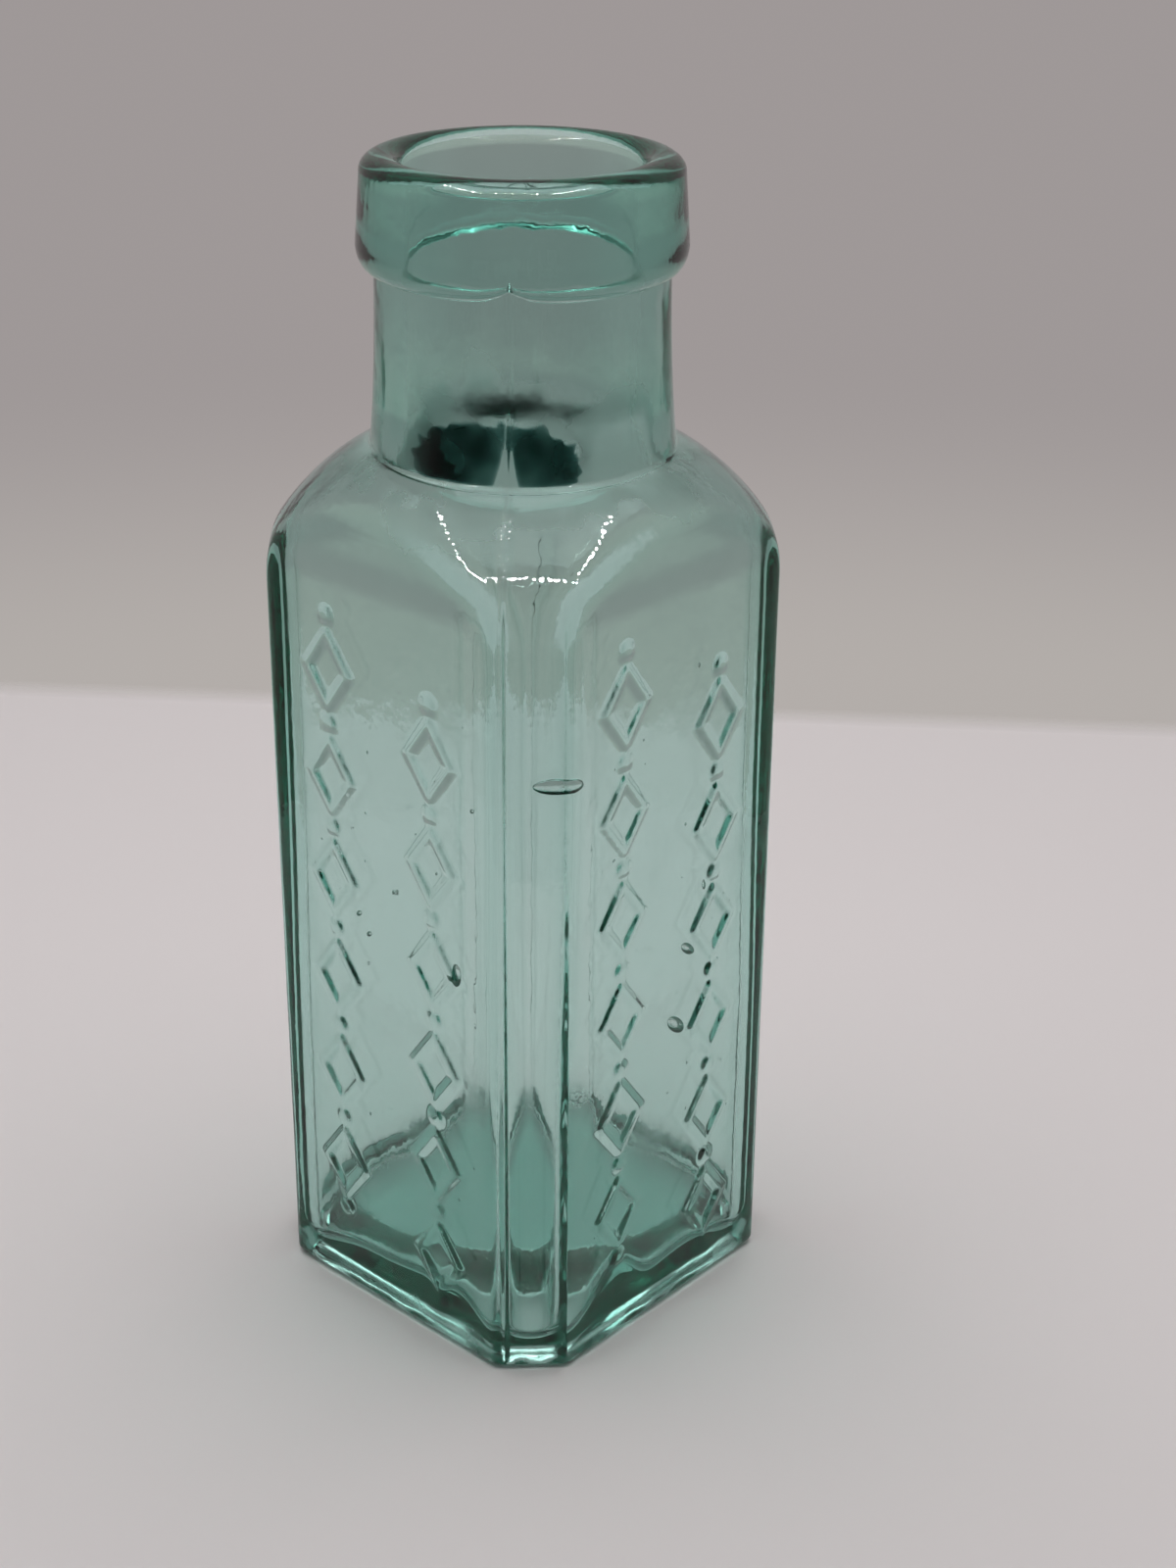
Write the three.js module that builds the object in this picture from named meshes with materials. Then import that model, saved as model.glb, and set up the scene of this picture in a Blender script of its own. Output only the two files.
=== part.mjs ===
// Square antique glass bottle with flattened corners, a domed shoulder, a round neck and a collar lip.
// Millimetres, +Z up. The origin is the middle of the base, on the surface that the bottle stands on.
import * as THREE from 'three';

// Outside of the body
const bodyWidth = 37.7; // across opposite panels
const chamferLeg = 4.9; // what each flattened corner takes off both of its panels
const baseRound = 0.9; // rounded edge between the base and the walls
const restWidth = 0.95; // flat ring that the bottle stands on, at the middle of a panel
const recessDepth = 1; // shallow hollow in the underside, inside that ring
const recessSlope = 1.6; // width of the hollow's sloping edge

// Shoulder, a round dome that the four panels cut into arches, and neck
const shoulderFoot = 72; // height where the dome starts over the flattened corners
const shoulderFootRadius = 24.6; // of the dome at that height, outside the corners
const shoulderRise = 12.9; // from there to the crown of the dome
const shoulderCrownRadius = 12.1; // of the dome at its crown, inside the neck
const shoulderFullness = 1.5; // power of the dome's curve, where 2 is a true ellipse and 1 a straight slope
const archSoft = 1.2; // rounded edge between the dome and the panels
const neckRadius = 13; // at the top, under the lip
const neckFlare = 0.7; // how much wider the neck is at its foot
const neckRise = 15.2; // from the shoulder's crown to the seat of the lip
const neckFillet = 0.35; // soft inner corner between shoulder and neck

// Chamber
const wall = 2.6; // panel thickness
const chamberCorner = 4.8; // rounded upright corners of the chamber
const vaultDepth = 12; // how far below the shoulder's foot the chamber starts to close in
const vaultWall = 2.6; // thickness over the crown of the chamber
const vaultFullness = 2.8; // power of the vault's curve
const floorMiddle = 4.2; // height of the chamber's floor on the axis
const floorSide = 3.4; // and next to the middle of a panel
const floorCorner = 1.7; // and in its four corners
const floorRound = 2; // rounded edge between the chamber's floor and walls
const boreRadius = 10.2; // through neck and lip
const boreFillet = 1.5; // soft corner between the chamber's vault and the bore

// Collar lip
const lipHeight = 9.9;
const lipRadius = 14.5; // at its widest line
const lipTopRadius = 14.05; // where the rim starts to round over
const lipSwell = 2.4; // height of the rounded underside
const rimRound = 1.4; // height of the rim's outer rounding
const mouthRound = 1.4; // height of the rounding into the mouth

// Fineness of the surfaces
const panelSteps = 12;
const chamferSteps = 3;
const domeSteps = 14;
const neckSteps = 4;
const roundSteps = 4;
const lipSegments = 56;

const halfWidth = bodyWidth / 2;
const recessRadius = halfWidth - baseRound - restWidth;
const shoulderCrown = shoulderFoot + shoulderRise;
const vaultFoot = shoulderFoot - vaultDepth;
const vaultCrown = shoulderCrown - vaultWall;
const lipSeat = shoulderCrown + neckRise;
const quarterTurn = Math.PI / 2;

// Directions round the axis, with one at every upright edge between a panel and a flattened corner.
function directions() {
  const edge = Math.atan2(halfWidth - chamferLeg, halfWidth);
  const angles = [];
  for (let side = 0; side < 4; side += 1) {
    for (let i = 0; i < panelSteps; i += 1) {
      angles.push(side * quarterTurn + THREE.MathUtils.lerp(-edge, edge, i / panelSteps));
    }
    for (let i = 0; i < chamferSteps; i += 1) {
      angles.push(side * quarterTurn + THREE.MathUtils.lerp(edge, quarterTurn - edge, i / chamferSteps));
    }
  }
  return angles;
}

// Angle from the nearest panel's middle, from 0 to an eighth of a turn.
function fromPanelMiddle(angle) {
  return Math.abs(angle - quarterTurn * Math.round(angle / quarterTurn));
}

// Distance from the axis to the square with flattened corners, moved in by inset.
function outerReach(angle, inset) {
  const turn = fromPanelMiddle(angle);
  const panel = (halfWidth - inset) / Math.cos(turn);
  const cornerDistance = (bodyWidth - chamferLeg) / Math.SQRT2 - inset;
  const corner = cornerDistance / Math.cos(Math.PI / 4 - turn);
  return Math.min(panel, corner);
}

// Distance from the axis to the chamber's square with rounded corners.
function chamberReach(angle) {
  const turn = fromPanelMiddle(angle);
  const half = halfWidth - wall;
  const centre = half - chamberCorner;
  if (Math.tan(turn) * half <= centre) {
    return half / Math.cos(turn);
  }
  const along = centre * (Math.cos(turn) + Math.sin(turn));
  const across = centre * (Math.cos(turn) - Math.sin(turn));
  return along + Math.sqrt(chamberCorner ** 2 - across ** 2);
}

// The larger of two radii, with a soft corner of the given size where they cross.
function softMax(a, b, soft) {
  const overlap = Math.max(soft - Math.abs(a - b), 0) / soft;
  return Math.max(a, b) + (overlap ** 2 * soft) / 4;
}

// The smaller of two radii, with a rounded edge of the given size where they cross.
function softMin(a, b, soft) {
  return -softMax(-a, -b, soft);
}

function neckRadiusAt(z) {
  const down = THREE.MathUtils.clamp((lipSeat - z) / neckRise, 0, 1);
  return neckRadius + neckFlare * down ** 2;
}

// One closed ring of points from a reach and a height for every direction.
function ring(reachAt, heightAt) {
  return directions().map((angle) => {
    const reach = reachAt(angle);
    return new THREE.Vector3(reach * Math.cos(angle), reach * Math.sin(angle), heightAt(angle));
  });
}

// Rings of a round dome over a square section, which closes in on a round pipe.
function domeRings(dome) {
  const rings = [];
  const power = 2 / dome.fullness;
  for (let i = 1; i <= domeSteps; i += 1) {
    const turn = (quarterTurn * i) / domeSteps;
    const z = THREE.MathUtils.lerp(dome.foot, dome.crown, Math.sin(turn) ** power);
    const spread = Math.max(Math.cos(turn), 0) ** power;
    const radius = THREE.MathUtils.lerp(dome.crownRadius, dome.footRadius, spread);
    const pipe = dome.pipeRadiusAt(z);
    const reachAt = (angle) => softMax(softMin(dome.square(angle), radius, archSoft), pipe, dome.fillet);
    rings.push(ring(reachAt, () => z));
  }
  return rings;
}

const shoulderDome = {
  square: (angle) => outerReach(angle, 0),
  foot: shoulderFoot,
  footRadius: shoulderFootRadius,
  crown: shoulderCrown,
  crownRadius: shoulderCrownRadius,
  fullness: shoulderFullness,
  pipeRadiusAt: neckRadiusAt,
  fillet: neckFillet,
};

const chamberVault = {
  square: chamberReach,
  foot: vaultFoot,
  footRadius: chamberReach(quarterTurn / 2) + archSoft,
  crown: vaultCrown,
  crownRadius: boreRadius - boreFillet,
  fullness: vaultFullness,
  pipeRadiusAt: () => boreRadius,
  fillet: boreFillet,
};

function outerRings() {
  const rings = [
    ring(() => recessRadius - recessSlope, () => recessDepth),
    ring(() => recessRadius, () => 0),
  ];
  for (let i = 0; i <= roundSteps; i += 1) {
    const turn = (quarterTurn * i) / roundSteps;
    const inset = baseRound * (1 - Math.sin(turn));
    const z = baseRound * (1 - Math.cos(turn));
    rings.push(ring((angle) => outerReach(angle, inset), () => z));
  }
  rings.push(ring(shoulderDome.square, () => shoulderFoot));
  rings.push(...domeRings(shoulderDome));
  for (let i = 1; i <= neckSteps; i += 1) {
    const z = THREE.MathUtils.lerp(shoulderCrown, lipSeat, i / neckSteps);
    rings.push(ring(() => neckRadiusAt(z), () => z));
  }
  return rings;
}

// The chamber's floor is lowest towards its four corners.
function floorHeight(angle, share) {
  const cornerShare = (1 - Math.cos(4 * angle)) / 2;
  const edge = THREE.MathUtils.lerp(floorSide, floorCorner, cornerShare);
  return THREE.MathUtils.lerp(floorMiddle, edge, share ** 2);
}

// Chamber rings from the floor up to the top of the bore.
function chamberRings() {
  const rings = [];
  const flatReach = (angle) => chamberReach(angle) - floorRound;
  for (let i = 1; i < roundSteps; i += 1) {
    const share = i / roundSteps;
    rings.push(ring((angle) => flatReach(angle) * share, (angle) => floorHeight(angle, share)));
  }
  for (let i = 0; i <= roundSteps; i += 1) {
    const turn = (quarterTurn * i) / roundSteps;
    const out = floorRound * Math.sin(turn);
    const up = floorRound * (1 - Math.cos(turn));
    rings.push(ring((angle) => flatReach(angle) + out, (angle) => floorHeight(angle, 1) + up));
  }
  rings.push(ring(chamberReach, () => vaultFoot));
  rings.push(...domeRings(chamberVault));
  rings.push(ring(() => boreRadius, () => lipSeat));
  return rings;
}

// A closed skin over a row of rings, from a first point to a last point on the axis.
function loft(firstPoint, rings, lastPoint) {
  const count = rings[0].length;
  const points = [firstPoint, ...rings.flat(), lastPoint];
  const lastIndex = points.length - 1;
  const indexOf = (row, i) => 1 + row * count + (i % count);
  const triangles = [];
  for (let i = 0; i < count; i += 1) {
    triangles.push(0, indexOf(0, i + 1), indexOf(0, i));
    for (let row = 0; row + 1 < rings.length; row += 1) {
      triangles.push(indexOf(row, i), indexOf(row, i + 1), indexOf(row + 1, i + 1));
      triangles.push(indexOf(row, i), indexOf(row + 1, i + 1), indexOf(row + 1, i));
    }
    triangles.push(indexOf(rings.length - 1, i), indexOf(rings.length - 1, i + 1), lastIndex);
  }
  const geometry = new THREE.BufferGeometry().setFromPoints(points);
  geometry.setIndex(triangles);
  geometry.computeVertexNormals();
  return geometry;
}

function bodyGeometry() {
  const underside = new THREE.Vector3(0, 0, recessDepth);
  const chamberFloor = new THREE.Vector3(0, 0, floorMiddle);
  return loft(underside, [...outerRings(), ...chamberRings().reverse()], chamberFloor);
}

// The lip's section, from the bore along its seat, round the outside and back into the mouth.
function lipGeometry() {
  const crownRadius = (boreRadius + lipTopRadius) / 2;
  const outline = new THREE.Path();
  outline.moveTo(boreRadius, 0);
  outline.lineTo(neckRadius, 0);
  outline.absellipse(neckRadius, lipSwell, lipRadius - neckRadius, lipSwell, -quarterTurn, 0);
  outline.lineTo(lipTopRadius, lipHeight - rimRound);
  outline.absellipse(crownRadius, lipHeight - rimRound, lipTopRadius - crownRadius, rimRound, 0, quarterTurn);
  outline.absellipse(
    crownRadius, lipHeight - mouthRound, crownRadius - boreRadius, mouthRound, quarterTurn, Math.PI,
  );
  outline.lineTo(boreRadius, 0);
  const geometry = new THREE.LatheGeometry(outline.getPoints(roundSteps), lipSegments);
  return geometry.rotateX(quarterTurn);
}

const aquaGlass = { color: 0x8fc4b8, roughness: 0.05, metalness: 0, transparent: true, opacity: 0.45 };

const body = new THREE.Mesh(bodyGeometry(), new THREE.MeshStandardMaterial(aquaGlass));
body.name = 'glass_body';

const lip = new THREE.Mesh(lipGeometry(), new THREE.MeshStandardMaterial(aquaGlass));
lip.name = 'lip_ring';
lip.position.z = lipSeat;

const bottle = new THREE.Group();
bottle.add(body, lip);

export default bottle;
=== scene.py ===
import math
import random

import bmesh
import bpy
from mathutils import Matrix, Vector, noise


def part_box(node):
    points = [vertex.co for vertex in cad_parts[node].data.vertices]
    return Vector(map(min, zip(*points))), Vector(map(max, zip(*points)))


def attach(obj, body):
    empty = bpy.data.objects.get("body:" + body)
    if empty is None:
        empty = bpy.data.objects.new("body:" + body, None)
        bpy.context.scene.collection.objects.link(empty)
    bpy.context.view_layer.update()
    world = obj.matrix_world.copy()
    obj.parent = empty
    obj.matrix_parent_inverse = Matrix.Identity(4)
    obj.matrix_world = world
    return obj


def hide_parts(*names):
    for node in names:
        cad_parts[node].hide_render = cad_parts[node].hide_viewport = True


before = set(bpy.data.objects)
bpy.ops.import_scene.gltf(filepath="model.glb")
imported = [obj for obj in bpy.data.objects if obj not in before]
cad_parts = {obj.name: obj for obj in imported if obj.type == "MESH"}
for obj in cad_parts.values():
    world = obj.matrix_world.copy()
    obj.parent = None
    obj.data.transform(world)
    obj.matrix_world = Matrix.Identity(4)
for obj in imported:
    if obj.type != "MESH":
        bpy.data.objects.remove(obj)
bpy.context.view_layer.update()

mm = 0.001
quarterTurn = math.pi / 2
print("frame loaded")


# camera, as fitted to the panel edges and the rings of lip and mouth

cameraView = {
    "place": (148.442, -155.460, 150.379),  # millimetres
    "azimuth": 42.057,  # degrees, 0 looks along +Y
    "down": 24.894,
    "roll": 0.530,
    "lens": 57.145,
    "clipStart": 0.01,  # metres
}


def makeCamera(view):
    azimuth, down, roll = (math.radians(view[k]) for k in ("azimuth", "down", "roll"))
    right = Vector((math.cos(azimuth), math.sin(azimuth), 0))
    level = math.cos(down)
    back = Vector((math.sin(azimuth) * level, -math.cos(azimuth) * level, math.sin(down)))
    up = back.cross(right)
    across = right * math.cos(roll) + up * math.sin(roll)
    upright = up * math.cos(roll) - right * math.sin(roll)
    data = bpy.data.cameras.new("camera")
    data.lens = view["lens"]
    data.clip_start = view["clipStart"]
    camera = bpy.data.objects.new("camera", data)
    turn = Matrix((across, upright, back)).transposed().to_4x4()
    camera.matrix_world = Matrix.Translation(Vector(view["place"]) * mm) @ turn
    bpy.context.scene.collection.objects.link(camera)
    bpy.context.scene.camera = camera


makeCamera(cameraView)
print("camera placed")


# small tools

def softMin(a, b, soft):
    near = max(soft - abs(a - b), 0) / soft
    return min(a, b) - near * near * soft / 4


def softMax(a, b, soft):
    return -softMin(-a, -b, soft)


def mix(a, b, t):
    return a + (b - a) * t


def ease(low, high, value):
    t = min(max((value - low) / (high - low), 0), 1)
    return t * t * (3 - 2 * t)


def steps(first, last, count):
    return [mix(first, last, i / count) for i in range(1, count + 1)]


# bottle skin, in millimetres

bodyLow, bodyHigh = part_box("glass_body")
lipLow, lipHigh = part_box("lip_ring")

bottle = {
    "width": (bodyHigh.x - bodyLow.x) / mm,
    "chamferLeg": 4.9,
    "edgeSoft": 0.4,  # rounding of the upright edges
    "heelRound": 0.9,
    "restWidth": 0.95,  # flat foot ring round the hollow of the underside
    "recessSlope": 1.6,
    "recessDepth": 1.0,
    "restGrain": (0.45, 1.0),  # the foot ring is rough: depth and size of its grain
    "domeFoot": 72.0,
    "domeFootRadius": 24.6,
    "domeCrown": 84.9,
    "domeCrownRadius": 12.1,
    "domeFullness": 1.5,
    "archSoft": 1.2,  # rounding where the dome meets the panels
    "neckRadius": 13.0,
    "neckFlare": 0.7,
    "neckFillet": 0.35,
    "lipSeat": lipLow.z / mm,
    "lipTop": lipHigh.z / mm,
    "lipRadius": (lipHigh.x - lipLow.x) / mm / 2,
    "lipTopRadius": 14.05,
    "lipSwell": 2.4,
    "rimRound": 1.4,
    "mouthRound": 1.4,
    "boreRadius": 10.2,
    "boreFillet": 1.5,
    "bell": (1.9, 5.5),  # the bore widens towards the chamber: amount and height
    "floorHaze": 0.3,  # of the chamber's floor, as a share of the haze on its walls
    "baseHaze": (2.2, 0.65, 0.95),  # of the underside: most, and where it grows on the way to the edge
    "footHaze": (10.0, 85.0, 3.4),  # the bore's foot is hazier: how many times, its height and half width
    "wall": 2.6,
    "chamberCorner": (4.2, 5.2),  # radius of the upright corners, low and high
    "cornerHeights": (25.0, 60.0),
    "vaultWall": 2.3,  # thickness of the dome
    "floorMiddle": 4.8,
    "floorFall": (19.3, 1.15, 2.9),  # outside this radius the chamber's floor falls with this slope, so far
    "floorSoft": (0.3, 0.6),  # rounding where that fall starts and ends
    "floorCentre": (9.0, 134.0),  # the floor's round is off the axis: how far, and in which direction
    "floorWaves": (  # direction in degrees, height, width in degrees, and how near to the edge
        (-80, 1.9, 16, 9), (-63, 1.6, 8, 9), (-18, 4.0, 12, 9), (44, -0.8, 18, 5), (-133, -0.8, 18, 5),
        (180, -0.8, 24, 6), (90, -0.8, 24, 6), (134, -1.2, 18, 6),
    ),
    "floorRound": 2.0,
    "panelBand": 0.6,  # how near to a panel's plane a point counts as on the panel
}

mouldSeam = {
    "angles": (-51.0, 129.0),  # degrees round the axis
    "width": 0.45,
    "height": 0.28,
    "neckShare": 0.15,  # the neck is fire-polished, and the lip is tooled smooth
    "neckFade": 6.0,  # height over which it gets so weak
    "notch": (1.9, 1.0),  # height and half width of the peak that it draws into the lip's lower edge
    "notchPowers": (6, 2),  # how fast the peak fades down the neck and up the lip
}
edgeFin = {  # along one front edge
    "angle": -36.6,
    "width": 0.5,
    "height": 0.3,
    "rise": (0.9, 3.0),  # heights between which it starts
    "fade": (38.0, 56.0),  # and ends
    "bead": 3.2,  # length of its beads
    "beadHeights": (0.6, 0.8, 0.1),  # mean, swing and least, as shares of its height
}

skinFineness = {
    "panel": 24, "edge": 6, "chamfer": 8, "seam": 6,  # columns
    "edgeSpan": 1.1,  # millimetres that a rounded edge takes on each side
    "crowding": {"neck": 1.6, "bore": 2},  # power that crowds rings towards the lip and the bore's foot
    "weld": 0.0005,
}


def columnAngles(shape, seam, fin, fineness):
    half = shape["width"] / 2
    edge = math.atan2(half - shape["chamferLeg"], half)
    soft = fineness["edgeSpan"] / half
    nextEdge = quarterTurn - edge
    spans = (
        (-edge + soft, edge - soft, "panel"), (edge - soft, edge + soft, "edge"),
        (edge + soft, nextEdge - soft, "chamfer"), (nextEdge - soft, nextEdge + soft, "edge"),
    )
    angles = []
    for side in range(4):
        for first, last, kind in spans:
            angles += [side * quarterTurn + a for a in steps(first, last, fineness[kind])]
    spread = seam["width"] / half
    for degrees in (*seam["angles"], fin["angle"]):
        middle = math.radians(degrees)
        angles += [middle + a for a in steps(-spread, spread, fineness["seam"])]
    return sorted(a % (4 * quarterTurn) for a in angles)


def fromPanelMiddle(angle):
    return abs(angle - quarterTurn * round(angle / quarterTurn))


def squareReach(shape, angle, inset=0.0):
    turn = fromPanelMiddle(angle)
    panel = (shape["width"] / 2 - inset) / math.cos(turn)
    distance = (shape["width"] - shape["chamferLeg"]) / math.sqrt(2) - inset
    corner = distance / math.cos(math.pi / 4 - turn)
    return softMin(panel, corner, shape["edgeSoft"])


def chamberReach(shape, angle, z):
    turn = fromPanelMiddle(angle)
    half = shape["width"] / 2 - shape["wall"]
    corner = mix(*shape["chamberCorner"], ease(*shape["cornerHeights"], z))
    centre = half - corner
    if math.tan(turn) * half <= centre:
        return half / math.cos(turn)
    along = centre * (math.cos(turn) + math.sin(turn))
    across = centre * (math.cos(turn) - math.sin(turn))
    return along + math.sqrt(corner ** 2 - across ** 2)


def neckRadiusAt(shape, z):
    down = (shape["lipSeat"] - z) / (shape["lipSeat"] - shape["domeCrown"])
    return shape["neckRadius"] + shape["neckFlare"] * min(max(down, 0), 1) ** 2


def crowd(t, zone):
    return 1 - (1 - t) ** skinFineness["crowding"][zone]


# each zone gives the distance from the axis and the height for a direction and a step t from 0 to 1

def recessEdge(shape, angle):
    return squareReach(shape, angle, shape["heelRound"] + shape["restWidth"])


def underside(shape, angle, t):
    edge = recessEdge(shape, angle)
    return edge * t, shape["recessDepth"] * (1 - ease(edge - shape["recessSlope"], edge, edge * t))


def rest(shape, angle, t):
    reach = mix(recessEdge(shape, angle), squareReach(shape, angle, shape["heelRound"]), t)
    depth, size = shape["restGrain"]
    grain = noise.noise(Vector((reach * math.cos(angle), reach * math.sin(angle), 4.7)) / size)
    return reach, depth * 4 * t * (1 - t) * max(grain, 0)


def heel(shape, angle, t):
    size = shape["heelRound"]
    inset = size * (1 - math.sin(quarterTurn * t))
    return squareReach(shape, angle, inset), size * (1 - math.cos(quarterTurn * t))


def panels(shape, angle, t):
    return squareReach(shape, angle), mix(shape["heelRound"], shape["domeFoot"], t)


def dome(shape, t):
    power = 2 / shape["domeFullness"]
    spread = max(math.cos(quarterTurn * t), 0) ** power
    radius = mix(shape["domeCrownRadius"], shape["domeFootRadius"], spread)
    return radius, mix(shape["domeFoot"], shape["domeCrown"], math.sin(quarterTurn * t) ** power)


def shoulder(shape, angle, t):
    radius, z = dome(shape, t)
    body = softMin(squareReach(shape, angle), radius, shape["archSoft"])
    return softMax(body, neckRadiusAt(shape, z), shape["neckFillet"]), z


def neck(shape, angle, t):
    z = mix(shape["domeCrown"], shape["lipSeat"], crowd(t, "neck"))
    return neckRadiusAt(shape, z), z


def lipUnder(shape, angle, t):
    out = shape["lipRadius"] - shape["neckRadius"]
    turn = quarterTurn * t
    return (shape["neckRadius"] + out * math.sin(turn),
            shape["lipSeat"] + shape["lipSwell"] * (1 - math.cos(turn)))


def lipSide(shape, angle, t):
    z = mix(shape["lipSeat"] + shape["lipSwell"], shape["lipTop"] - shape["rimRound"], t)
    return mix(shape["lipRadius"], shape["lipTopRadius"], t), z


def rim(shape, angle, t):
    crown = (shape["boreRadius"] + shape["lipTopRadius"]) / 2
    turn = quarterTurn * t
    return (crown + (shape["lipTopRadius"] - crown) * math.cos(turn),
            shape["lipTop"] - shape["rimRound"] * (1 - math.sin(turn)))


def mouth(shape, angle, t):
    crown = (shape["boreRadius"] + shape["lipTopRadius"]) / 2
    turn = quarterTurn * t
    return (crown - (crown - shape["boreRadius"]) * math.sin(turn),
            shape["lipTop"] - shape["mouthRound"] * (1 - math.cos(turn)))


def boreAt(shape, z):
    amount, height = shape["bell"]
    up = z - shape["domeCrown"] + shape["vaultWall"]
    return shape["boreRadius"] + amount * min(max(1 - up / height, 0), 1) ** 2


def bore(shape, angle, t):
    foot = shape["domeCrown"] - shape["vaultWall"]
    z = mix(shape["lipTop"] - shape["mouthRound"], foot, crowd(t, "bore"))
    return boreAt(shape, z), z


def vault(shape, angle, t):
    near = 0.01  # to each side, for the dome's slope
    radius, z = dome(shape, 1 - t)
    wide, low = dome(shape, max(1 - t - near, 0))
    narrow, high = dome(shape, min(1 - t + near, 1))
    length = math.hypot(wide - narrow, high - low) / shape["vaultWall"]
    radius -= (high - low) / length
    z -= (wide - narrow) / length
    body = softMin(chamberReach(shape, angle, z), radius, shape["archSoft"])
    return softMax(body, boreAt(shape, z), shape["boreFillet"]), z


def floorAt(shape, angle, share):
    radius, slope, most = shape["floorFall"]
    startSoft, endSoft = shape["floorSoft"]
    reach = (chamberReach(shape, angle, 0) - shape["floorRound"]) * share
    away, direction = shape["floorCentre"]
    turn = angle - math.radians(direction)
    out = math.hypot(reach * math.cos(turn) - away, reach * math.sin(turn))
    fall = softMin(softMax(0, slope * (out - radius), startSoft), most, endSoft)
    height = shape["floorMiddle"] - fall
    for degrees, wave, width, power in shape["floorWaves"]:
        turn = math.degrees(angle) - degrees
        height += wave * share ** power * math.exp(-((turn - 360 * round(turn / 360)) / width) ** 2)
    return height


def chamber(shape, angle, t):
    z = mix(shape["domeFoot"], floorAt(shape, angle, 1) + shape["floorRound"], t)
    return chamberReach(shape, angle, z), z


def floorEdge(shape, angle, t):
    size = shape["floorRound"]
    reach = chamberReach(shape, angle, 0) - size * (1 - math.cos(quarterTurn * t))
    return reach, floorAt(shape, angle, 1) + size * (1 - math.sin(quarterTurn * t))


def floor(shape, angle, t):
    share = 1 - t
    return (chamberReach(shape, angle, 0) - shape["floorRound"]) * share, floorAt(shape, angle, share)


skinZones = [  # zone and its number of rings, from the middle of the base to that of the chamber's floor
    (underside, 24), (rest, 6), (heel, 6), (panels, 56), (shoulder, 26), (neck, 16),
    (lipUnder, 10), (lipSide, 8), (rim, 8), (mouth, 8), (bore, 30), (vault, 28), (chamber, 36),
    (floorEdge, 8), (floor, 20),
]


def fromDirection(angle, degrees):
    turn = angle - math.radians(degrees)
    return turn - 4 * quarterTurn * round(turn / (4 * quarterTurn))


def seamHeight(shape, seam, fin, angle, reach, z):
    if z > shape["lipSeat"] + shape["lipSwell"]:
        return 0.0
    crown = shape["domeCrown"]
    share = mix(1, seam["neckShare"], ease(crown, crown + seam["neckFade"], z))
    share *= 1 - ease(0, shape["lipSwell"], z - shape["lipSeat"])
    height = 0.0
    for degrees in seam["angles"]:
        across = fromDirection(angle, degrees) * reach
        height += seam["height"] * share * math.exp(-(2 * across / seam["width"]) ** 2)
    across = fromDirection(angle, fin["angle"]) * reach
    mean, swing, least = fin["beadHeights"]
    beads = mean + swing * noise.noise(Vector((z / fin["bead"], 0.3, 1.9)))
    share = ease(*fin["rise"], z) * (1 - ease(*fin["fade"], z)) * max(beads, least)
    return height + fin["height"] * share * math.exp(-(2 * across / fin["width"]) ** 2)


def lipNotch(seam, angle, reach, onNeck, t):
    height, width = seam["notch"]
    down, up = seam["notchPowers"]
    peak = height * math.exp(-abs(fromDirection(angle, seam["angles"][0])) * reach / width)
    return peak * (t ** down if onNeck else (1 - t) ** up)


def makeSkin(shape, seam, fin, zones, fineness):
    half = shape["width"] / 2
    angles = columnAngles(shape, seam, fin, fineness)
    stations = [(underside, 0.0)]
    for zone, count in zones:
        stations += [(zone, t) for t in steps(0, 1, count)]
    bm = bmesh.new()
    number = bm.verts.layers.int.new("station")
    inside = bm.verts.layers.float.new("inside")
    row = []
    for i, (zone, t) in enumerate(stations):
        reach, z = zone(shape, 0.0, t)
        vert = bm.verts.new((reach, 0, z))
        vert[number] = i
        row.append(vert)
    edges = [bm.edges.new(pair) for pair in zip(row, row[1:])]
    bmesh.ops.spin(bm, geom=row + edges, cent=(0, 0, 0), axis=(0, 0, 1), angle=4 * quarterTurn,
                   steps=len(angles), use_merge=True)
    for vert in bm.verts:
        column = round(math.atan2(vert.co.y, vert.co.x) / (4 * quarterTurn) * len(angles)) % len(angles)
        angle = angles[column]
        zone, t = stations[vert[number]]
        reach, z = zone(shape, angle, t)
        if zone in (bore, vault, chamber, floorEdge, floor):
            times, middle, spread = shape["footHaze"]
            vert[inside] = 1 + (times - 1) * math.exp(-((z - middle) / spread) ** 2)
        if zone in (floorEdge, floor):
            vert[inside] = shape["floorHaze"]
        if zone is underside:
            most, start, end = shape["baseHaze"]
            vert[inside] = most * ease(start, end, t)
        if zone in (panels, shoulder, neck, lipUnder, lipSide):
            reach += seamHeight(shape, seam, fin, angle, reach, z)
        if zone in (neck, lipUnder):
            z += lipNotch(seam, angle, reach, zone is neck, t)
        across, along = reach * math.cos(angle), reach * math.sin(angle)
        vert.co = (min(max(across, -half), half), min(max(along, -half), half), z)  # within the panels
    bmesh.ops.remove_doubles(bm, verts=bm.verts, dist=fineness["weld"])
    bmesh.ops.recalc_face_normals(bm, faces=bm.faces)
    return bm


# raised ornament on the two front panels: hollow lozenges and beads in upright rows

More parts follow.
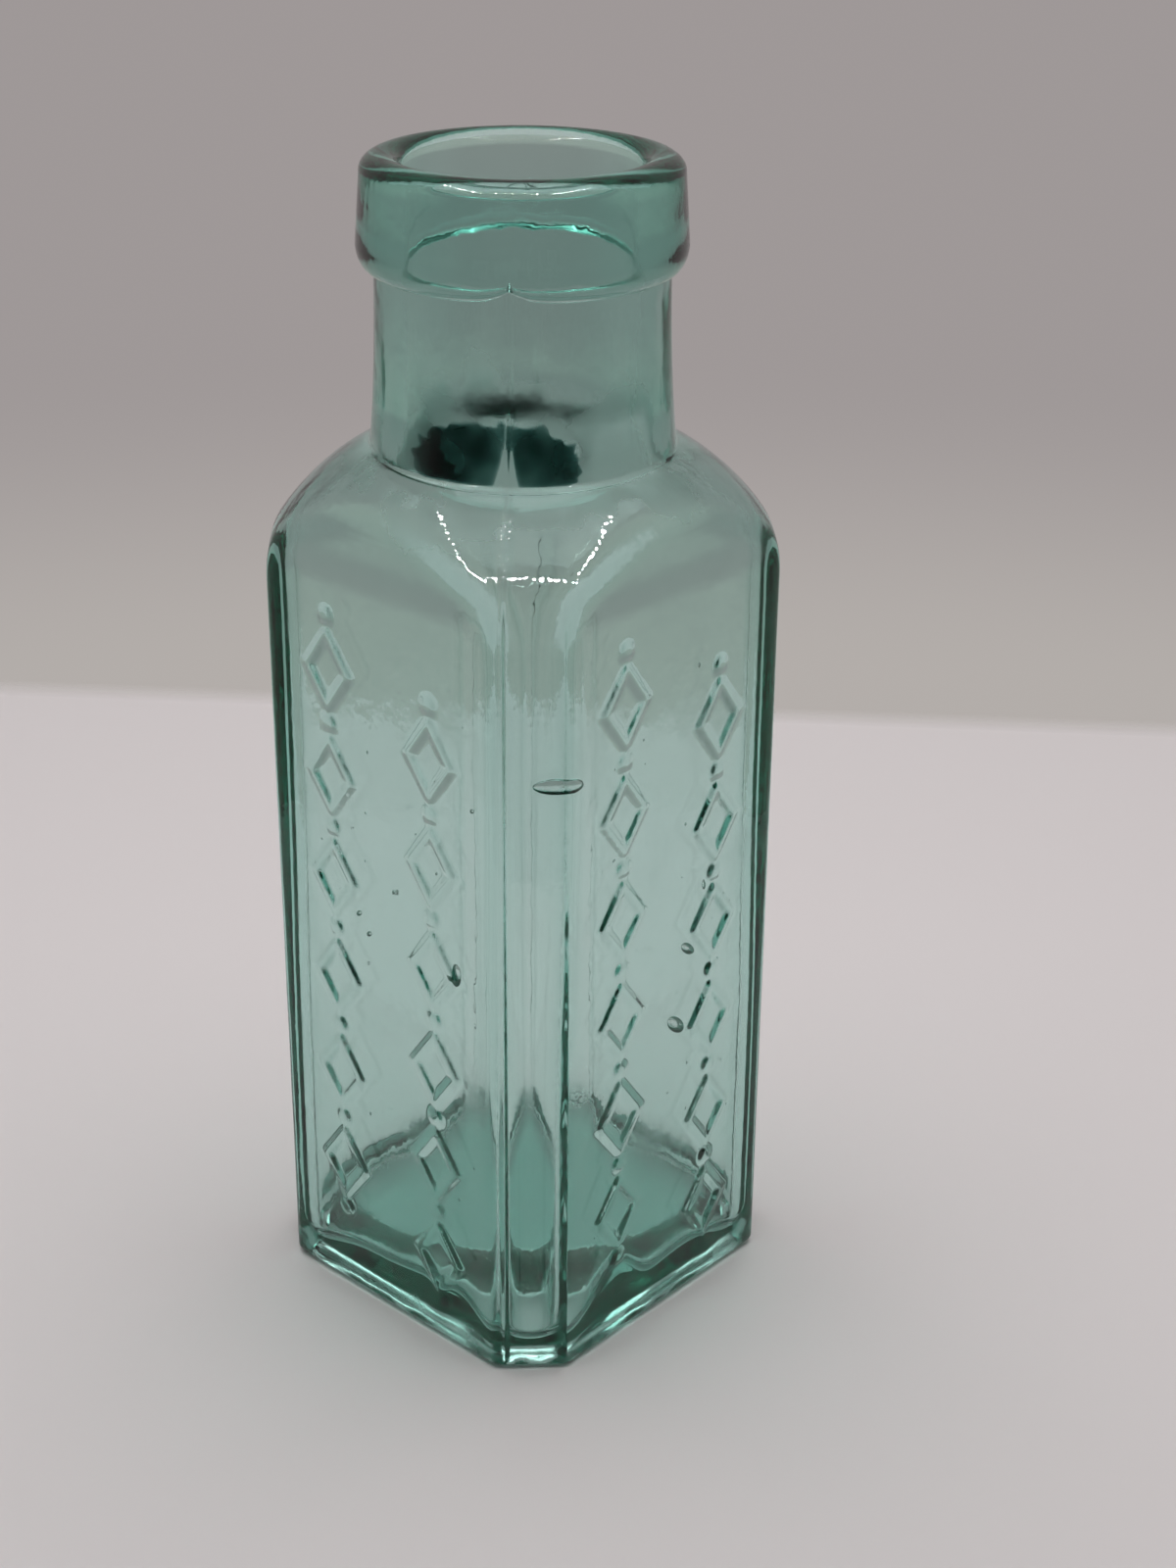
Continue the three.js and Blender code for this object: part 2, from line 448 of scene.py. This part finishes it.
ornament = {
    "rows": ((-6.6, 14.0, 6), (6.2, 9.0, 6)),  # place on the panel, height of the first lozenge, count
    "pitch": 10.4,
    "lozenge": (2.6, 3.5),  # half width and half height
    "stroke": 0.9,
    "bead": 0.8,
    "height": 0.28,
    "soft": 0.5,
    "margin": 1.0,  # finer mesh so far round it
    "lowest": 5.0,
    "cuts": 4,
}
panelSink = {  # the panels sink a little between their edges
    "depth": 0.4,
    "edge": 4.0,
    "low": 1.0,
    "aboveFoot": 6.0,  # its top, above the foot of the dome
}
panelAxes = (((0, -1), (1, 0)), ((1, 0), (0, 1)), ((0, 1), (-1, 0)), ((-1, 0), (0, -1)))  # outward and along
frontNormals = ((0, -1), (1, 0))


def panelPlace(shape, co):
    half = shape["width"] / 2
    for normal, along in panelAxes:
        if co.x * normal[0] + co.y * normal[1] > half - shape["panelBand"]:
            return normal, co.x * along[0] + co.y * along[1]
    return None, 0.0


def ornamentDistance(setting, u, z):
    near = 99.0
    a, b = setting["lozenge"]
    for row, first, count in setting["rows"]:
        nearest = min(max(round((z - first) / setting["pitch"]), 0), count - 1)
        along = z - first - setting["pitch"] * nearest
        across = (abs(u - row) / a + abs(along) / b - 1) * a * b / math.hypot(a, b)
        ring = abs(across) - setting["stroke"] / 2
        bead = math.hypot(u - row, setting["pitch"] / 2 - abs(along)) - setting["bead"]
        near = min(near, ring, bead)
    return near


def addOrnament(bm, shape, setting, sink):
    wanted = {}  # keeps its order, so that each run gives the same mesh
    for face in bm.faces:
        centre = face.calc_center_median()
        normal, u = panelPlace(shape, centre)
        if normal in frontNormals and centre.z > setting["lowest"]:
            if ornamentDistance(setting, u, centre.z) < setting["margin"]:
                wanted.update(dict.fromkeys(face.edges))
    bmesh.ops.subdivide_edges(bm, edges=list(wanted), cuts=setting["cuts"], use_grid_fill=True)
    side = shape["width"] / 2 - shape["chamferLeg"]
    for vert in bm.verts:
        normal, u = panelPlace(shape, vert.co)
        if normal is None or abs(u) > side:
            continue
        top = shape["domeFoot"] + sink["aboveFoot"]
        inside = ease(0, sink["edge"], side - abs(u)) * ease(0, sink["edge"], vert.co.z - sink["low"])
        inside *= ease(0, sink["edge"], top - vert.co.z)
        move = -sink["depth"] * inside
        if normal in frontNormals:
            distance = ornamentDistance(setting, u, vert.co.z)
            move += setting["height"] * (1 - ease(-setting["soft"], setting["soft"], distance))
        vert.co += Vector((normal[0], normal[1], 0)) * move


# old glass is uneven: slow waves in both surfaces, stronger inside

waves = {
    "outer": (0.05, 7.0),  # depth and length in millimetres
    "inner": (0.11, 11.0),
    "upright": 0.6,  # they are longer upright
    "fadeLow": 1.5,
    "flutes": (0.22, 2.4, 20.0),  # upright tool marks on the neck: depth, width and length
    "fluteFades": ((1, 4), (0, 2)),  # above the neck's foot and under the lip
}


def addWaves(bm, shape, setting):
    bm.normal_update()
    inside = bm.verts.layers.float["inside"]
    moved = []
    for vert in bm.verts:
        co = vert.co
        inner = vert[inside] > 0 and co.z > shape["recessDepth"]
        depth, length = setting["inner" if inner else "outer"]
        spot = Vector((co.x, co.y, co.z * setting["upright"])) / length
        amount = depth * noise.noise(spot + Vector((3.1, 0, 7.7)))
        if not inner:
            amount = -abs(amount) * ease(0, setting["fadeLow"], co.z) * ease(0, 1, shape["lipTop"] - co.z)
            flute, width, length = setting["flutes"]
            spot = Vector((co.x / width, co.y / width, co.z / length))
            mark = noise.noise(spot + Vector((5.3, 1.1, 0.4)))
            foot, top = setting["fluteFades"]
            upper = ease(*foot, co.z - shape["domeCrown"]) * ease(*top, shape["lipSeat"] - co.z)
            amount -= flute * max(mark, 0) ** 2 * upper
        moved.append(co + vert.normal * amount)
    for vert, place in zip(bm.verts, moved):
        vert.co = place


# seeds, the gas bubbles that old glass holds

seeds = {
    "large": [  # face, place along it, height, length, width and lean in degrees
        ("corner", 2.3, 60.5, 4.2, 1.5, 90),
        ("left", 8.3, 40.3, 2.2, 1.3, 12),
        ("right", 3.6, 38.0, 2.3, 1.0, -52),
        ("right", 2.1, 30.4, 3.1, 1.4, -48),
        ("right", 5.7, 44.0, 1.1, 0.5, -10),
        ("left", -4.3, 42.0, 0.9, 0.5, 50),
        ("left", -3.0, 40.3, 0.8, 0.5, 50),
        ("left", 10.8, 57.4, 0.6, 0.4, 60),
    ],
    "inWall": 0.6,  # from the chamber to the middle of a seed
    "inCorner": 0.5,
    "flatness": (0.35, 0.34),  # depth as a share of the width, and the greatest depth
    "specks": 70,
    "speckSize": (0.12, 0.32),
    "speckAlong": (-11, 11),
    "speckHeights": (8, 68),
    "speckStretch": (1, 1.8),
    "speckLean": (-60, 60),
    "key": 5,
}
faces = {  # outward direction and direction along the face, as seen from outside from left to right
    "left": ((0, -1, 0), (1, 0, 0)),
    "right": ((1, 0, 0), (0, 1, 0)),
    "back": ((0, 1, 0), (-1, 0, 0)),
    "far": ((-1, 0, 0), (0, -1, 0)),
    "corner": ((math.sqrt(0.5), -math.sqrt(0.5), 0), (math.sqrt(0.5), math.sqrt(0.5), 0)),
}


def addSeed(bm, shape, setting, fine, face, along, z, length, width, lean):
    outward, across = (Vector(v) for v in faces[face])
    inner = shape["width"] / 2 - shape["wall"]
    reach = inner + setting["inWall"]
    if face == "corner":
        reach = chamberReach(shape, quarterTurn / 2, z) + setting["inCorner"]
    centre = outward * reach + across * along + Vector((0, 0, z))
    share, most = setting["flatness"]
    depth = min(width * share, most)
    made = bmesh.ops.create_icosphere(bm, subdivisions=fine, radius=1)["verts"]
    bmesh.ops.scale(bm, vec=(width / 2, depth, length / 2), verts=made)
    turn = Matrix.Rotation(math.radians(lean), 3, "Y")
    stand = Matrix((across, -outward, Vector((0, 0, 1)))).transposed()
    bmesh.ops.transform(bm, matrix=Matrix.Translation(centre) @ (stand @ turn).to_4x4(), verts=made)
    bmesh.ops.reverse_faces(bm, faces=list({f for v in made for f in v.link_faces}))


def joinMesh(skinMesh, bm, name):
    mesh = bpy.data.meshes.new(name)
    bm.to_mesh(mesh)
    bm.free()
    skinMesh.from_mesh(mesh)
    bpy.data.meshes.remove(mesh)


def addSeeds(skinMesh, shape, setting):
    bm = bmesh.new()
    for row in setting["large"]:
        addSeed(bm, shape, setting, 3, *row)
    draw = random.Random(setting["key"])
    for _ in range(setting["specks"]):
        face = draw.choice(("left", "right", "back", "far"))
        size = draw.uniform(*setting["speckSize"])
        along, z, stretch, lean = (
            draw.uniform(*setting[k]) for k in ("speckAlong", "speckHeights", "speckStretch", "speckLean")
        )
        addSeed(bm, shape, setting, 1, face, along, z, size * stretch, size, lean)
    joinMesh(skinMesh, bm, "seeds")


# two patches of painted shade in the front of the neck's foot, on both sides of the mould seam: very dark
# absorbing glass put where the neck's foot looks dark from light trapped in it

paintedShadeGlass = {
    "direction": -58.5,  # middle of the oval that the patches share, in degrees round the axis
    "halfWidth": 35.0,
    "middle": 85.9,  # height of the oval's middle
    "halfHeight": 3.7,
    "topShare": 0.97,  # of the half height, where the patches end
    "low": 84.0,  # the foot of the neck cuts the oval
    "gap": (-53.0, 5.0, 4.0),  # direction of the gap, its half width at the foot, and its height
    "thick": 0.36,  # as a share of the wall, to each side of its middle
    "rimThick": 0.12,  # of that, at a patch's edge
    "lumps": (0.8, 0.35, 1.6),  # mean and swing of the thickness, and the size of its lumps
    "ragged": 0.22,
    "raggedMost": (18.0, 3.6),  # how far the edges may stray, in degrees and in height
    "raggedSize": 0.8,
    "edgePower": 6,  # how near to the edge they stray
    "degreeLength": 0.24,  # millimetres per degree round the neck
    "cuts": 26,
    # dark colour and strength of the painted shade
    "absorbColour": (0.0, 0.32, 0.29),
    "absorbDensity": 2100.0,
}


def addPaintedShadePatch(skinMesh, shape, setting, side):
    bm = bmesh.new()
    bmesh.ops.create_cube(bm, size=2)
    bmesh.ops.subdivide_edges(bm, edges=list(bm.edges), cuts=setting["cuts"], use_grid_fill=True)
    gap, gapWidth, gapHeight = setting["gap"]
    top = setting["middle"] + setting["halfHeight"] * setting["topShare"]
    turnMost, riseMost = setting["raggedMost"]
    mean, swing, lump = setting["lumps"]
    for vert in bm.verts:
        along, through, up = vert.co
        z = mix(setting["low"], top, (up + 1) / 2)
        oval = math.sqrt(max(1 - ((z - setting["middle"]) / setting["halfHeight"]) ** 2, 0))
        outer = setting["direction"] + side * setting["halfWidth"] * oval
        inner = gap + side * gapWidth * max(1 - (z - setting["low"]) / gapHeight, 0)
        share = (along + 1) / 2
        degrees = mix(inner, outer, share)
        spot = Vector((degrees * setting["degreeLength"], z, 1.7 * side))
        rough = noise.fractal(spot / setting["raggedSize"], 0.9, 2.2, 4)
        edge = max(abs(along), abs(up)) ** setting["edgePower"]
        degrees += side * edge * rough * setting["ragged"] * turnMost * share
        z += edge * rough * setting["ragged"] * riseMost * ease(0, 1, up + 0.6)
        swell = math.sqrt(max((1 - along ** 4) * (1 - up ** 4), 0))
        rimThick = setting["rimThick"]
        thick = setting["thick"] * (rimThick + (1 - rimThick) * swell)
        thick *= mean + swing * noise.noise(spot / lump)
        turn = math.radians(degrees)
        reach = mix(boreAt(shape, z), neckRadiusAt(shape, z), 0.5 + through * thick)
        vert.co = (reach * math.cos(turn), reach * math.sin(turn), z)
    bmesh.ops.recalc_face_normals(bm, faces=bm.faces)
    if bm.calc_volume(signed=True) < 0:
        bmesh.ops.reverse_faces(bm, faces=bm.faces)
    for face in bm.faces:
        face.material_index = 1
    joinMesh(skinMesh, bm, "patch")


def newGlass(name, ior):
    material = bpy.data.materials.new(name)
    material.use_nodes = True
    shader = material.node_tree.nodes["Principled BSDF"]
    shader.inputs["Base Color"].default_value = (1, 1, 1, 1)
    shader.inputs["Transmission Weight"].default_value = 1
    shader.inputs["IOR"].default_value = ior
    return material, material.node_tree, shader


def addTint(tree, look):
    absorb = tree.nodes.new("ShaderNodeVolumeAbsorption")
    absorb.inputs["Color"].default_value = (*look["absorbColour"], 1)
    absorb.inputs["Density"].default_value = look["absorbDensity"]
    tree.links.new(absorb.outputs["Volume"], tree.nodes["Material Output"].inputs["Volume"])


# very dark absorbing glass that paints the shade at the neck's foot
def makePaintedShadeGlass(look):
    material, tree, shader = newGlass("paintedShadeGlass", 1)  # it lies in the glass, so it bends no light
    shader.inputs["Roughness"].default_value = 0
    addTint(tree, look)
    return material


def finishPiece(bm, name, *materials):
    bmesh.ops.scale(bm, vec=(mm, mm, mm), verts=bm.verts)
    for face in bm.faces:
        face.smooth = True
    mesh = bpy.data.meshes.new(name)
    bm.to_mesh(mesh)
    bm.free()
    for material in materials:
        mesh.materials.append(material)
    piece = bpy.data.objects.new(name, mesh)
    bpy.context.scene.collection.objects.link(piece)
    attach(piece, "root")
    return piece


aquaGlass = {
    "ior": 1.52,
    "absorbColour": (0.0, 0.61, 0.50),
    "absorbDensity": 120.0,  # per metre, for the red that the glass takes most of
    "grain": (420.0, 0.00003, 1.0),  # scale, depth and upright squeeze of the fine unevenness
    "streak": (900.0, 0.000008, 0.06),
    "haze": (140.0, 0.42, 0.7, 0.22),  # scale of its patches, where they start and end, most roughness
}


def makeGlass(look):
    material, tree, shader = newGlass("aquaGlass", look["ior"])
    place = tree.nodes.new("ShaderNodeTexCoord").outputs["Object"]
    normal = None
    for name in ("grain", "streak"):
        scale, depth, squeeze = look[name]
        mapping = tree.nodes.new("ShaderNodeMapping")
        mapping.inputs["Scale"].default_value = (1, 1, squeeze)
        tree.links.new(place, mapping.inputs["Vector"])
        texture = tree.nodes.new("ShaderNodeTexNoise")
        texture.inputs["Scale"].default_value = scale
        texture.inputs["Detail"].default_value = 2
        tree.links.new(mapping.outputs["Vector"], texture.inputs["Vector"])
        bump = tree.nodes.new("ShaderNodeBump")
        bump.inputs["Distance"].default_value = depth
        tree.links.new(texture.outputs["Fac"], bump.inputs["Height"])
        if normal:
            tree.links.new(normal, bump.inputs["Normal"])
        normal = bump.outputs["Normal"]
    tree.links.new(normal, shader.inputs["Normal"])
    scale, start, end, most = look["haze"]
    patches = tree.nodes.new("ShaderNodeTexNoise")
    patches.inputs["Scale"].default_value = scale
    patches.inputs["Detail"].default_value = 5
    tree.links.new(place, patches.inputs["Vector"])
    inside = tree.nodes.new("ShaderNodeAttribute")
    inside.attribute_name = "inside"
    haze = tree.nodes.new("ShaderNodeMapRange")
    haze.inputs["From Min"].default_value = start
    haze.inputs["From Max"].default_value = end
    tree.links.new(patches.outputs["Fac"], haze.inputs["Value"])
    amount = tree.nodes.new("ShaderNodeMath")
    amount.operation = "MULTIPLY"
    amount.inputs[1].default_value = most
    tree.links.new(inside.outputs["Fac"], amount.inputs[0])
    tree.links.new(amount.outputs["Value"], haze.inputs["To Max"])
    tree.links.new(haze.outputs["Result"], shader.inputs["Roughness"])
    addTint(tree, look)
    return material


glass = makeGlass(aquaGlass)
skinMesh = makeSkin(bottle, mouldSeam, edgeFin, skinZones, skinFineness)
addOrnament(skinMesh, bottle, ornament, panelSink)
addWaves(skinMesh, bottle, waves)
addSeeds(skinMesh, bottle, seeds)
# the two patches of painted shade at the neck's foot
for side in (-1, 1):
    addPaintedShadePatch(skinMesh, bottle, paintedShadeGlass, side)
skin = finishPiece(skinMesh, "bottle_glass", glass, makePaintedShadeGlass(paintedShadeGlass))
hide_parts("glass_body", "lip_ring")
print("bottle skin made:", sum(len(p.vertices) - 2 for p in skin.data.polygons), "triangles")


# stage

stage = {
    "floorColour": (0.78, 0.742, 0.745),
    "floorRoughness": 0.9,
    "floorGap": 0.1,  # millimetres under the bottle
    "floorSize": (250.0, 263.0),  # millimetres across and along the view
    "backEdge": 140.0,  # from the bottle's axis to the far edge of the floor
    "floorTurn": -3.9,  # degrees, from square to the view
    "floorFade": 6.0,  # width of its soft far edge
    "backdropLow": (0.45, 0.42, 0.40),
    "backdropHigh": (0.345, 0.315, 0.313),
    "backdropHeights": (-0.38, -0.26),  # slopes at which the backdrop has these colours
    "roomColour": (0.05, 0.05, 0.05),  # the room behind the camera
    "roomEdges": (-0.6, 0.1),  # how far round from the camera the room gives way to the backdrop
}


def makeFloor(setting):
    bm = bmesh.new()
    bmesh.ops.create_grid(bm, x_segments=1, y_segments=1, size=0.5)
    across, along = setting["floorSize"]
    bmesh.ops.scale(bm, vec=(across, along, 1), verts=bm.verts)
    bmesh.ops.translate(bm, vec=(0, setting["backEdge"] - along / 2, -setting["floorGap"]), verts=bm.verts)
    turn = Matrix.Rotation(math.radians(cameraView["azimuth"] + setting["floorTurn"]), 3, "Z")
    bmesh.ops.rotate(bm, cent=(0, 0, 0), matrix=turn, verts=bm.verts)
    bmesh.ops.scale(bm, vec=(mm, mm, mm), verts=bm.verts)
    mesh = bpy.data.meshes.new("floor")
    bm.to_mesh(mesh)
    bm.free()
    material = bpy.data.materials.new("floorPaper")
    material.use_nodes = True
    tree = material.node_tree
    shader = tree.nodes["Principled BSDF"]
    shader.inputs["Base Color"].default_value = (*setting["floorColour"], 1)
    shader.inputs["Roughness"].default_value = setting["floorRoughness"]
    ahead = tree.nodes.new("ShaderNodeVectorMath")
    ahead.operation = "DOT_PRODUCT"
    ahead.inputs[1].default_value = turn @ Vector((0, 1, 0))
    tree.links.new(tree.nodes.new("ShaderNodeTexCoord").outputs["Object"], ahead.inputs[0])
    fade = tree.nodes.new("ShaderNodeMapRange")
    fade.inputs["From Min"].default_value = (setting["backEdge"] - setting["floorFade"]) * mm
    fade.inputs["From Max"].default_value = setting["backEdge"] * mm
    fade.inputs["To Min"].default_value = 1
    fade.inputs["To Max"].default_value = 0
    tree.links.new(ahead.outputs["Value"], fade.inputs["Value"])
    tree.links.new(fade.outputs["Result"], shader.inputs["Alpha"])
    mesh.materials.append(material)
    paper = bpy.data.objects.new("floor", mesh)
    bpy.context.scene.collection.objects.link(paper)


def makeWorld(setting):
    world = bpy.data.worlds.new("studio")
    bpy.context.scene.world = world
    world.use_nodes = True
    tree = world.node_tree
    azimuth = math.radians(cameraView["azimuth"])
    way = tree.nodes.new("ShaderNodeTexCoord").outputs["Generated"]

    def share(direction, edges):
        dot = tree.nodes.new("ShaderNodeVectorMath")
        dot.operation = "DOT_PRODUCT"
        dot.inputs[1].default_value = direction
        tree.links.new(way, dot.inputs[0])
        part = tree.nodes.new("ShaderNodeMapRange")
        part.interpolation_type = "SMOOTHSTEP"
        part.inputs["From Min"].default_value, part.inputs["From Max"].default_value = edges
        tree.links.new(dot.outputs["Value"], part.inputs["Value"])
        return part.outputs["Result"]

    def blend(factor, first, second):
        node = tree.nodes.new("ShaderNodeMix")
        node.data_type = "RGBA"
        tree.links.new(factor, node.inputs["Factor"])
        for socket, colour in ((node.inputs[6], first), (node.inputs[7], second)):  # the colour sockets
            if isinstance(colour, tuple):
                socket.default_value = (*colour, 1)
            else:
                tree.links.new(colour, socket)
        return node.outputs[2]

    heights = share((0, 0, 1), setting["backdropHeights"])
    backdrop = blend(heights, setting["backdropLow"], setting["backdropHigh"])
    away = (-math.sin(azimuth), math.cos(azimuth), 0)
    room = blend(share(away, setting["roomEdges"]), setting["roomColour"], backdrop)
    tree.links.new(room, tree.nodes["Background"].inputs["Color"])


def makeLamp(name, place, target, size, watts):
    data = bpy.data.lights.new(name, "AREA")
    data.shape = "RECTANGLE"
    data.size, data.size_y = (s * mm for s in size)
    data.energy = watts
    lamp = bpy.data.objects.new(name, data)
    lamp.location = Vector(place) * mm
    aim = Vector(target) * mm - lamp.location
    lamp.rotation_euler = aim.to_track_quat("-Z", "Y").to_euler()
    bpy.context.scene.collection.objects.link(lamp)
    return lamp


softbox = {
    "place": (-34, 37, 420),
    "target": (0, 0, 0),
    "size": (500, 400),
    "watts": 1.3,
}
ledFrame = {  # U of small lamps over the bottle, which glass shows as dotted lines
    "target": (0, 0, 80),
    "height": 330.0,
    "side": 118.0,  # to the left and right of the bottle
    "front": 165.0,
    "back": -35.0,
    "pitch": 13.0,
    "size": 4.5,
    "watts": 0.018,
}


def makeLedFrame(setting):
    azimuth = math.radians(cameraView["azimuth"])
    right = Vector((math.cos(azimuth), math.sin(azimuth), 0))
    front = Vector((math.sin(azimuth), -math.cos(azimuth), 0))
    side, near, far = (setting[k] for k in ("side", "front", "back"))
    corners = [(-side, far), (-side, near), (side, near), (side, far)]
    for start, end in zip(corners, corners[1:]):
        count = round(math.dist(start, end) / setting["pitch"])
        for i in range(count):
            across, ahead = (mix(a, b, i / count) for a, b in zip(start, end))
            place = right * across + front * ahead + Vector((0, 0, setting["height"]))
            size = (setting["size"], setting["size"])
            lamp = makeLamp("led", place, setting["target"], size, setting["watts"])
            lamp.visible_diffuse = False


makeFloor(stage)
makeWorld(stage)
softLamp = makeLamp("softbox", **softbox)
softLamp.visible_glossy = False
makeLedFrame(ledFrame)
scene = bpy.context.scene
scene.view_settings.view_transform = "Standard"
scene.cycles.max_bounces = 32  # light passes many walls of glass
scene.cycles.transmission_bounces = 32
scene.cycles.glossy_bounces = 16
scene.cycles.blur_glossy = 0  # the light that falls through the bottle stays sharp
print("stage lit")
